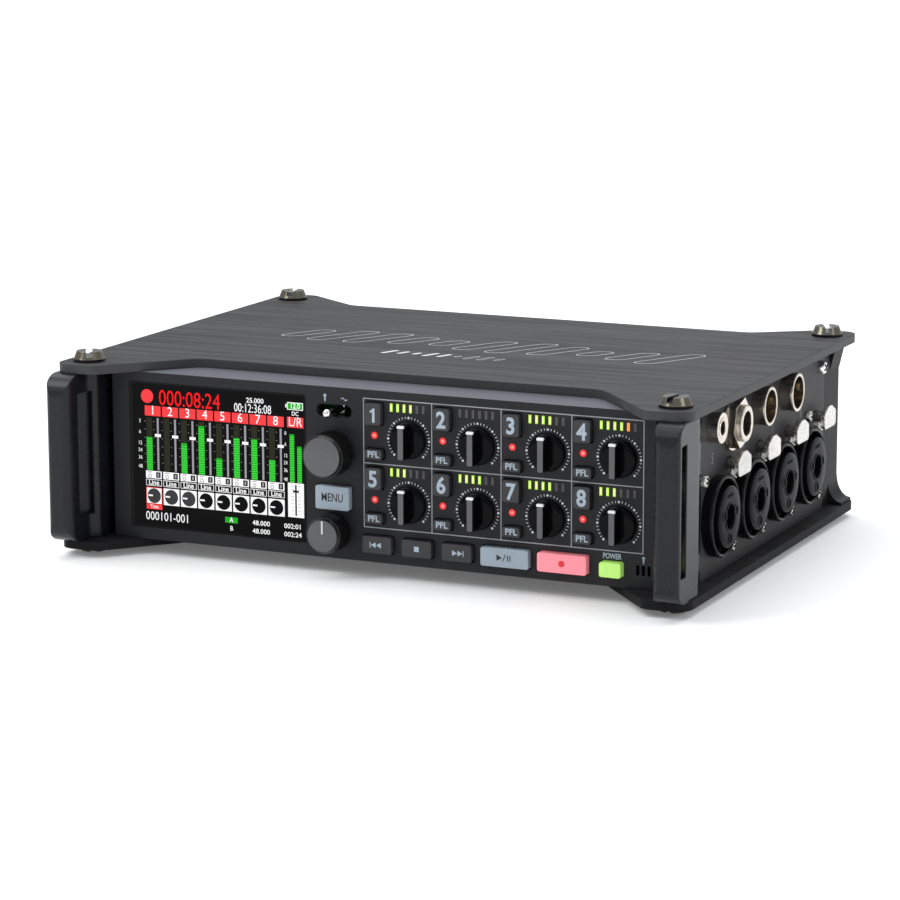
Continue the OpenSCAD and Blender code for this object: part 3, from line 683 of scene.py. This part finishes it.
def draw_header(box, dot, words):
    """The recording lamp, the times and the battery's level."""
    dot("red", 1, 5.45, 42.9, 1.85, 32)
    words("line", 1, "000:08:24", 18.1, 42.55, 3.4, narrow=0.80)
    words("white", 1, "25.000", 37.5, 43.95, 1.05, narrow=1.05, bold=0.02)
    words("white", 1, "00:12:36:08", 36.8, 41.75, 1.9, narrow=0.72)
    box("white", 1, MAIN_X, HEADER_Z, 4.6, 2.0)
    box("green", 2, MAIN_X, HEADER_Z, 4.2, 1.6)
    words("white", 3, "12.0", MAIN_X, HEADER_Z, 1.1, bold=0.03)
    box("white", 1, MAIN_X - 2.6, HEADER_Z, 0.4, 0.9)
    words("white", 1, "DC", MAIN_X, 41.4, 0.9, bold=0.02)


def draw_level(x, w, foot, first, level, box):
    """A level bar that stands on foot, with a brighter line in each of its segments."""
    box("green", 2, x, foot + level / 2, w, level)
    for i in range(int(level / SEGMENT)):
        box("lime", 3, x, first + SEGMENT * i, w, 0.24)


def draw_channel(n, x, box, dot, words):
    """One input's column: its number, level, fader, switches and dial."""
    middle_x, meter, fader, lamp = x + 0.85, x - 0.25, x + 2.3, x - 0.35
    box("red", 1, middle_x, NUMBER_Z, COLUMN_W, 2.7)
    words("white", 2, str(n), middle_x, NUMBER_Z, 2.0, narrow=0.95)
    box("olive", 1, meter, METER_MIDDLE, 1.7, METER_H)
    for i in range(6):
        for side in (-1.35, 1.35):
            box("grey", 1, meter + side, 36.2 - 2.2 * i, 0.28, 0.14)
    if LEVELS[n]:
        draw_level(meter, 1.75, 23.1, 23.4, LEVELS[n], box)
    box("grey", 1, fader, METER_MIDDLE, 0.55, METER_H)
    box("white", 2, fader, 32.55, 1.8, 0.75)
    box("white", 1, middle_x, SWITCH_Z, COLUMN_W, 2.0)
    box("black", 2, x + 2.2, SWITCH_Z, 1.35, 1.5)
    box("grey", 3, x + 2.2, SWITCH_Z, 0.5, 0.9)
    dot("grey", 2, lamp, 21.55, 0.55, 16)
    dot("white", 3, lamp, 21.55, 0.33, 16)
    box("grey", 2, lamp, 22.55, 1.3, 0.22)
    box("white", 1, middle_x, SOURCE_Z, COLUMN_W, 1.75)
    box("black", 2, middle_x, SOURCE_Z, COLUMN_W - 0.3, 1.45)
    words("white", 3, "Line", middle_x, SOURCE_Z, 1.15, narrow=0.95, bold=0.03)
    box("red" if n == 1 else "white", 1, middle_x, DIAL_Z, COLUMN_W, 4.5)
    box("white", 2, middle_x, DIAL_Z, COLUMN_W - 0.35, 4.15)
    dot("dim" if n < 4 else "black", 3, middle_x, DIAL_Z, 2.0, 40)
    box("white", 4, meter, DIAL_Z + 0.05, 1.4, 0.42)
    if n == 1:
        box("red", 1, middle_x, TRIM_Z, COLUMN_W, 1.3)
        words("white", 2, "Trim", middle_x, TRIM_Z, 0.8, bold=0.02)


def draw_scale(top_label, x, narrow, words):
    for label, z in ((top_label, 36.1), *SCALE):
        words("white", 1, label, x, z, 0.8, narrow=narrow)


def draw_main_mix(box, words):
    """The two output levels and their fader."""
    box("red", 1, MAIN_X, 39.15, 4.7, 2.75)
    words("white", 2, "L/R", MAIN_X, 39.15, 2.0, narrow=0.85)
    for x, level in ((48.2, 12.7), (50.35, 9.6)):
        draw_level(x, 1.3, 23.3, 23.5, level, box)
    draw_scale("0", MAIN_X - 2.9, 0.8, words)
    box("white", 1, MAIN_X, 18.6, 4.65, 9.1)
    box("black", 2, MAIN_X, 18.6, 0.45, 8.2)
    for i in range(9):
        for side in (-0.95, 0.95):
            box("grey", 2, MAIN_X + side, 14.9 + 0.93 * i, 0.7, 0.12)
    box("black", 3, MAIN_X, 20.95, 1.7, 0.55)


def draw_footer(box, words):
    """The name of the recording and, for each of the two cards, its rate and the time left."""
    words("white", 1, "000101-001", 11.0, 10.6, 1.9, narrow=0.84)
    box("green", 1, 30.1, 11.65, 3.7, 1.55)
    words("white", 2, "A", 30.1, 11.65, 1.05, bold=0.02)
    words("white", 1, "B", 30.1, 9.35, 1.05, bold=0.02)
    for z, rest in ((11.5, "002:01"), (9.3, "002:24")):
        words("white", 1, "48.000", 38.9, z, 1.05, narrow=1.05, bold=0.02)
        words("white", 1, rest, 48.2, z, 1.05, narrow=1.05, bold=0.02)


# ---- side sockets ----

SIDE_X = high("chassis").x
RIGHT = face_frame((SIDE_X, 0, 0), (0, 1, 0), (0, 0, 1))
LEFT = face_frame((-SIDE_X, 0, 0), (0, -1, 0), (0, 0, 1))
JACK_SCREWS = ((-10.4, 10.8), (10.5, -9.7))
FIRST_JACKS = (1, 5)    # the others have the tab before them where their first screw would be


def at_mount(name):
    """A mount's place in millimetres."""
    return [v / MM for v in mounts[name]["pos_m"]]


def pan_screw(piece, dark, x, y, r, height, turn):
    """A domed screw head with a cross slot."""
    piece.lathe(x, y, [(0, 0), (r, 0), (r, height * 0.45), (r * 0.82, height * 0.85), (r * 0.4, height),
                       (0, height)], sides=24)
    # The cross slot is a black strip: painted shade in the slot.
    for quarter in (0, 90):
        a = math.radians(turn + quarter)
        tip = Vector((math.cos(a), math.sin(a))) * r * 0.6
        dark.line([(x - tip.x, y - tip.y), (x + tip.x, y + tip.y)], r * 0.28, height * 0.9, height + 0.03)


def dress_jacks():
    parts = {}
    for side, face in (("right", RIGHT), ("left", LEFT)):
        parts[side] = {
            "insert": Piece(f"jack_inserts_{side}", face, INSERT, "jack"),
            "rim": Piece(f"jack_rims_{side}", face, FINISH["jack"], "jack"),
            "hole": Piece(f"jack_pin_holes_{side}", face, PAINTED_SHADE_AND_BLACK_PLASTIC, "jack"),
            "screw": Piece(f"jack_screws_{side}", face, FINISH["latch"], "latch"),
            "slot": Piece(f"jack_screw_slots_{side}", face, PAINTED_SHADE_AND_BLACK_PLASTIC, "latch"),
            "arm": Piece(f"jack_latch_arms_{side}", face, FINISH["latch"], "latch"),
            "ink": Piece(f"jack_numbers_{side}", face, INK_SIDE, "case_wall"),
        }
    for n in CHANNELS:
        x, y, z = at_mount(f"input_{n}")
        way = 1 if x > 0 else -1
        draw_jack(parts["right" if x > 0 else "left"], n, y * way, z, abs(x) - SIDE_X, way)
    for side in parts.values():
        for piece in side.values():
            piece.build()


def draw_jack(parts, n, u, z, front, way):
    """The looks of one input socket whose middle is at u, z on its wall. front is the height of its
    insert, and way is 1 where the wall's first axis runs to the back."""
    rim = [(9.62, 2.5), (9.7, 2.95), (10.0, 3.12), (10.3, 3.0), (10.54, 2.6), (10.54, 1.9), (9.62, 1.9)]
    parts["rim"].lathe(u, z, rim, sides=72, closed=True)
    insert = parts["insert"]
    face = [(3.3, -0.3), (3.3, 0.1), (3.9, 0.16), (7.3, 0.16), (7.75, 0.02), (7.95, -0.35), (7.95, -0.6)]
    insert.lathe(u, z, [(r, front + rise) for r, rise in face], sides=72, closed=True)
    lip = [(3.35, 0.15), (3.35, 0.32), (3.7, 0.32), (3.7, 0.15)]
    insert.lathe(u, z, [(r, front + rise) for r, rise in lip], sides=48, closed=True)
    hole = parts["hole"]
    # Black discs and strips stand for the centre bore's floor, the pin holes and the slots: painted shade
    # in these hollows.
    hole.lathe(u, z, [(0, -6.0), (3.24, -6.0), (3.24, -6.2), (0, -6.2)], sides=32)
    for angle, reach in ((12, 4.3), (168, 4.3), (270, 5.6)):
        px = u + reach * math.cos(math.radians(angle))
        pz = z + reach * math.sin(math.radians(angle))
        hole.disc(px, pz, 1.12, front, front + 0.2, 24)
        ring = [(1.12, 0.1), (1.12, 0.3), (1.5, 0.3), (1.5, 0.1)]
        insert.lathe(px, pz, [(r, front + rise) for r, rise in ring], sides=28, closed=True)
    hole.rect(u, z + 5.6, 4.2, 0.9, front, front + 0.19, corner=0.2)
    hole.rect(u, z - 8.75, 1.6, 1.3, 1.2, 1.4)
    for dx, dz in JACK_SCREWS if n in FIRST_JACKS else JACK_SCREWS[1:]:
        pan_screw(parts["screw"], parts["slot"], u + dx * way, z + dz, 1.75, 1.8, turn=20 + 17 * n)
    arm = [(u + way * dx, z + dz) for dx, dz in ((3.6, 10.2), (7.4, 8.5), (8.6, 9.6), (4.4, 11.4))]
    parts["arm"].prism(arm[::way], 1.4, 2.9)
    parts["ink"].text(str(n), u - way * 2.7, z + 15, 2.4, *WALL_PRINT, narrow=0.8, bold=0.03)


def dress_outputs():
    """Pins, insulators and nuts of the sockets on the right wall."""
    pins = Piece("output_pins", RIGHT, BRASS, "socket")
    dark = Piece("output_insulators", RIGHT, BROWN, "socket")
    rims = Piece("output_rims", RIGHT, FINISH["socket"], "socket")
    # The black discs deep in the bores are painted shade.
    black = Piece("output_bores", RIGHT, PAINTED_SHADE_AND_BLACK_PLASTIC, "socket")
    for name in ("mini_output_1", "mini_output_2"):
        _, y, z = at_mount(name)
        dark.lathe(y, z, [(0, -4.9), (4.28, -4.9), (4.28, -4.2), (0, -4.2)], sides=40)
        for angle in (90, 210, 330):
            px, pz = y + 2 * math.cos(math.radians(angle)), z + 2 * math.sin(math.radians(angle))
            pins.lathe(px, pz, [(0, 1.6), (0.35, 1.4), (0.5, 1.0), (0.5, -4.4), (0, -4.4)], sides=16)
        rims.lathe(y, z, [(4.32, 3.7), (4.4, 3.86), (4.8, 3.9), (5.05, 3.75), (5.16, 3.4), (5.16, 2.6),
                          (4.32, 2.6)], sides=64, closed=True)
    _, y, z = at_mount("headphones")
    black.lathe(y, z, [(0, -8), (3.18, -8), (3.18, -8.3), (0, -8.3)], sides=32)
    for k in range(5):
        rims.lathe(y, z, [(4.55, 2.9 + 0.22 * k), (4.72, 3.0 + 0.22 * k), (4.55, 3.1 + 0.22 * k)], sides=48,
                   closed=True)
    rims.lathe(y, z, [(3.22, 3.9), (3.4, 4.08), (4.2, 4.08), (4.55, 3.8), (4.55, 3.5), (3.22, 3.5)],
               sides=48, closed=True)
    _, y, z = at_mount("line_out")
    black.lathe(y, z, [(0, -5), (1.79, -5), (1.79, -5.3), (0, -5.3)], sides=32)
    rims.lathe(y, z, [(1.82, 3.0), (1.95, 3.2), (2.6, 3.25), (2.75, 3.05), (2.75, 2.9), (1.82, 2.9)],
               sides=40, closed=True)
    for piece in (pins, dark, rims, black):
        piece.build()


def dress_side_details():
    """The wall's loose screws and small printed marks."""
    screws = Piece("side_screws", RIGHT, FINISH["latch"], "latch")
    # The black cross slots of the screws are painted shade.
    slots = Piece("side_screw_slots", RIGHT, PAINTED_SHADE_AND_BLACK_PLASTIC, "latch")
    pan_screw(screws, slots, low("input_latch_8").y - 3.8, 32.8, 1.6, 1.8, 10)
    screws.build()
    small = Piece("side_screw_small", RIGHT, FINISH["lever"], "screw")
    pan_screw(small, slots, 51.2, 44.3, 1.9, 1.6, 35)
    small.build()
    slots.build()
    ink = Piece("side_marks", RIGHT, INK_SIDE, "case_wall")
    wave_mark(ink, -41.0, 42.0, 0.8)
    ink.line(arc(-28.4, 38.0, 0.85, 0, 180, 10), 0.22, *PRINT)
    for x in (-29.3, -27.5):
        ink.rect(x, 37.7, 0.45, 0.9, *PRINT, corner=0.15)
    for number, name in ((1, "mini_output_1"), (2, "mini_output_2")):
        _, y, z = at_mount(name)
        ink.text(str(number), y + 8.2, z + 2.2, 1.5, *WALL_PRINT, narrow=0.85)
    ink.build()


CARD_X = 2
CARD_SLOTS = (("A", 40), ("B", 45))    # letter and height of each card slot
CONTACTS = 9


def dress_left():
    """Card slots with their spring contacts, a data socket's tongue and marks on the left wall."""
    tongue = Piece("card_slot_guides", LEFT, FINISH["display"], "display")
    gold = Piece("card_slot_contacts", LEFT, BRASS, "socket")
    ink = Piece("left_marks", LEFT, INK_SIDE, "case_wall")
    for letter, z in CARD_SLOTS:
        tongue.rect(CARD_X, z, 24.6, 2.4, -7.0, -5.6)
        tongue.rect(CARD_X, z - 1.25, 24.6, 0.2, -5.6, -1.9)
        for k in range(CONTACTS):
            gold.rect(CARD_X + 2.2 * (k - (CONTACTS - 1) / 2), z - 1.05, 1.1, 0.16, -5.4, -2.6)
        ink.text(letter, -12.6, z, 1.7, *WALL_PRINT, narrow=0.9)
    tongue.build()
    gold.build()
    data_port("left_data_socket", LEFT, -30, 42)
    ink.build()


def data_port(name, face, x, y):
    """The metal shell and the tongue of a small data socket."""
    shell = Piece(f"{name}_shell", face, FINISH["socket"], "socket")
    shell.line(soft_box(x, y, 8.5, 2.8, 1.35, 6), 0.3, -6.0, -0.1, closed=True)
    shell.build()
    # The tongue is black plastic; the black sheet behind it, at the back of the opening, is painted shade.
    tongue = Piece(f"{name}_tongue", face, PAINTED_SHADE_AND_BLACK_PLASTIC, "display")
    tongue.rect(x, y, 6.6, 0.7, -6.0, -1.0)
    tongue.rect(x, y, 8.2, 2.5, -6.2, -6.0)
    tongue.build()


# ---- back and underside ----

REAR_Y = high("chassis").y
BACK = face_frame((0, REAR_Y, 0), (-1, 0, 0), (0, 0, 1))
GRIP_DEPTH = 3    # how far the tray's grip stands out of its lid


def dress_back():
    pins = Piece("rear_pins", BACK, BRASS, "socket")
    dark = Piece("rear_insulators", BACK, INSERT, "socket")
    metal = Piece("rear_bayonets", BACK, FINISH["socket"], "socket")
    for name in ("timecode_1", "timecode_2"):
        x, _, z = at_mount(name)
        dark.lathe(-x, z, [(0.75, 2.0), (4.05, 2.0), (4.05, 3.0), (2.4, 3.0), (2.2, 7.6), (1.0, 7.6),
                           (0.75, 7.4)], sides=40, closed=True)
        for side in (-1, 1):
            metal.rect(-x + side * 5.0, z, 1.2, 1.4, 5.6, 7.0, corner=0.3)
        metal.lathe(-x, z, [(4.15, 8.6), (4.3, 8.97), (4.6, 8.97), (4.83, 8.6), (4.83, 8.0), (4.15, 8.0)],
                    sides=56, closed=True)
        metal.line(arc(-x, z, 7.1, 0, 300, 5), 0.9, 0.05, 1.2, closed=True)
    for name in ("power_in_1", "power_in_2"):
        x, _, z = at_mount(name)
        dark.lathe(-x, z, [(0, -2), (4.58, -2), (4.58, -1.2), (0, -1.2)], sides=40)
        for angle in (45, 135, 225, 315):
            px, pz = -x + 2.3 * math.cos(math.radians(angle)), z + 2.3 * math.sin(math.radians(angle))
            pins.lathe(px, pz, [(0, 3.2), (0.3, 3.1), (0.45, 2.7), (0.45, -1.4), (0, -1.4)], sides=16)
        metal.lathe(-x, z, [(4.65, 4.8), (4.8, 5.08), (5.7, 5.08), (6.05, 4.8), (6.05, 4.2), (4.65, 4.2)],
                    sides=56, closed=True)
    for piece in (pins, dark, metal):
        piece.build()
    data_port("rear_data_socket", BACK, -62, 36)
    marks = Piece("rear_marks", BACK, INK_SIDE, "case_wall")
    for label, x, z in (("IN", -24, 45.6), ("OUT", -44, 45.6), ("1", -24, 26.2), ("2", -44, 26.2)):
        marks.text(label, x, z, 1.6, *WALL_PRINT, narrow=0.85)
    marks.build()
    ribs = Piece("battery_tray_ribs", BACK, FINISH["tray"], "tray", "battery_tray")
    tray_out = high("battery_tray").y - REAR_Y
    centre = -middle("battery_tray").x
    for k in range(11):
        ribs.rect(centre - 10 + 2 * k, 24.5, 0.8, 4.4, tray_out - 0.1, tray_out + 0.35, corner=0.3)
    lid = tray_out - GRIP_DEPTH
    for z in (11.2, 14.2, 34.2, 37.2):
        ribs.rect(centre, z, 56, 0.7, lid - 0.1, lid + 0.3, corner=0.3)
    ribs.build()
    arrow = Piece("battery_tray_arrow", BACK, INK_SIDE, "tray", "battery_tray")
    arrow.prism([(centre - 1.6, 30.4), (centre + 1.6, 30.4), (centre, 28.6)], lid - 0.02, lid + 0.03)
    arrow.build()


def dress_cells():
    """Contact buttons and sleeve bands of the battery cells."""
    box_low, box_high = low("battery_cells"), high("battery_cells")
    gap = 0.5
    r = (box_high.z - box_low.z - gap) / 4
    step = (box_high.x - box_low.x - 2 * r) / 3
    face = face_frame((0, box_high.y, 0), (-1, 0, 0), (0, 0, 1))
    tips = Piece("cell_contacts", face, FINISH["shaft"], "shaft", "battery_tray")
    bands = Piece("cell_bands", face, KNOB_FACE, "cell", "battery_tray")
    for i in range(4):
        for j in range(2):
            x, z = -(box_low.x + r + i * step), box_low.z + r + j * (2 * r + gap)
            tips.lathe(x, z, [(0, 0.9), (2.4, 0.9), (2.7, 0.6), (2.7, 0), (0, 0)], sides=24)
            outline = [(0.02, -4), (0.05, -5), (0.05, -12), (0.02, -13), (-0.2, -13), (-0.2, -4)]
            bands.lathe(x, z, [(r + out, height) for out, height in outline], sides=40, closed=True)
    tips.build()
    bands.build()


def dress_feet():
    """A shallow ring in each foot and a thread's turns in the tripod hole."""
    below = face_frame((0, 0, 0), (1, 0, 0), (0, -1, 0))
    rings = Piece("foot_rings", below, FINISH["foot"], "foot")
    low_feet, high_feet = low("rubber_feet"), high("rubber_feet")
    foot_r = 6
    for x in (low_feet.x + foot_r, high_feet.x - foot_r):
        for y in (low_feet.y + foot_r, high_feet.y - foot_r):
            rings.lathe(x, -y, [(6.1, -0.9), (6.25, -1.2), (6.25, -1.9), (5.8, -1.9), (5.8, -0.9)],
                        sides=48, closed=True)
    rings.build()
    x, y, z = at_mount("tripod_thread")
    thread = Piece("tripod_thread_turns", below, FINISH["socket"], "socket")
    r = mounts["tripod_thread"]["dims"]["r_mm"]
    pitch = 1.27
    for k in range(6):
        top = -z - 0.4 - pitch * k
        thread.lathe(x, -y, [(r - 0.02, top), (r - 0.45, top - 0.5), (r - 0.02, top - 1.0)],
                     sides=36, closed=True)
    thread.build()


# ---- plates ----

TOP_Z = high("top_plate").z
TOP = face_frame((0, 0, TOP_Z), (1, 0, 0), (0, 1, 0))
CUT = (-0.005, 0.012)


def engrave_top():
    """A plain waveform cut in thin lines: leaning rounded bars whose heights rise and fall, with a
    row of short solid bars in front of it."""
    lines = Piece("top_engraving", TOP, ENGRAVED, "plate")
    count, left, right, middle_y, lean = 11, -50, 57, 7, 0.55
    step = (right - left) / (count - 1)
    for i in range(count):
        height = 7 + 12.5 * abs(math.sin(math.pi * (i + 0.8) * 2.45 / count))
        x = left + i * step
        outline = [(px + lean * (py - middle_y), py)
                   for px, py in soft_box(x, middle_y, 5.4, height, 2.6, 6)]
        lines.line(outline, 0.36, *CUT, closed=True)
    lines.build()
    solid = Piece("top_print", TOP, INK_BRIGHT, "plate")
    middle_y, lean = -12, 0.4
    for i in range(9):
        height = 1.6 + 4.0 * abs(math.cos(math.pi * i * 0.3))
        x = -16 + 4 * i
        bar = [(px + lean * (py - middle_y), py) for px, py in soft_box(x, middle_y, 1.3, height, 0.5, 3)]
        if i < 5:
            solid.prism(bar, 0, 0.02)
        else:
            solid.line(bar, 0.18, 0, 0.02, closed=True)
    solid.build()


# ---- studio ----


def area_light(name, at, target, size, watts):
    data = bpy.data.lights.new(name, "AREA")
    data.shape = "RECTANGLE"
    data.size, data.size_y = size
    data.energy = watts
    light = bpy.data.objects.new(name, data)
    light.location = at
    light.rotation_euler = (Vector(target) - Vector(at)).to_track_quat("-Z", "Y").to_euler()
    bpy.context.scene.collection.objects.link(light)


def build_studio():
    floor_mesh = bpy.data.meshes.new("floor")
    bm = bmesh.new()
    bmesh.ops.create_circle(bm, cap_ends=True, segments=96, radius=9)
    bm.to_mesh(floor_mesh)
    bm.free()
    floor_mesh.materials.append(grained("floor", (0.93, 0.93, 0.93), 0.9, spread=0.01, bump=0, edge=0,
                                        grain=40, blotch=3, Specular_IOR_Level=0.1,
                                        Emission_Color=(1, 1, 1, 1), Emission_Strength=0.12))
    floor = bpy.data.objects.new("floor", floor_mesh)
    bpy.context.scene.collection.objects.link(floor)
    world = bpy.data.worlds.new("studio")
    world.use_nodes = True
    backdrop = world.node_tree.nodes["Background"]
    socket(backdrop, "Color", (0.95, 0.97, 1.0, 1))
    socket(backdrop, "Strength", 0.6)
    bpy.context.scene.world = world
    sun = bpy.data.objects.new("overhead", bpy.data.lights.new("overhead", "SUN"))
    sun.data.energy = 1.75
    sun.data.angle = math.radians(70)
    sun.rotation_euler = (math.radians(-20), math.radians(-12), 0)
    bpy.context.scene.collection.objects.link(sun)
    area_light("key", (-0.7, -0.6, 0.9), (-0.03, 0, 0.03), (0.6, 0.6), 6.0)
    area_light("back", (0.1, 1.2, 0.7), (0, 0, 0.02), (1.6, 0.4), 3.0)
    area_light("side", (1.2, -0.35, 0.45), (0.08, 0, 0.03), (0.5, 0.5), 2.5)
    bpy.context.scene.view_settings.view_transform = "Standard"


CAMERA_AT = (362.56, -802.82, 199.40)
CAMERA_TURN = (24.531, 11.274, -0.119)    # azimuth to the right of the front, elevation, roll


def add_camera():
    azimuth, elevation, roll = (math.radians(angle) for angle in CAMERA_TURN)
    back = Vector((math.sin(azimuth) * math.cos(elevation), -math.cos(azimuth) * math.cos(elevation),
                   math.sin(elevation)))
    level = Vector((math.cos(azimuth), math.sin(azimuth), 0))
    upright = back.cross(level)
    right = level * math.cos(roll) + upright * math.sin(roll)
    up = upright * math.cos(roll) - level * math.sin(roll)
    data = bpy.data.cameras.new("camera")
    data.sensor_width = 36
    data.lens = 132.5
    data.clip_start, data.clip_end = 0.01, 50
    camera = bpy.data.objects.new("camera", data)
    turn = Matrix((right, up, back)).transposed().to_4x4()
    camera.matrix_world = Matrix.Translation(Vector(CAMERA_AT) * MM) @ turn
    bpy.context.scene.collection.objects.link(camera)
    bpy.context.scene.camera = camera


add_camera()
build_studio()
dress_nodes()
dress_lights()
print_panel()
print_keys()
dress_knobs()
draw_display()
dress_jacks()
dress_outputs()
dress_side_details()
dress_left()
dress_back()
dress_cells()
dress_feet()
engrave_top()
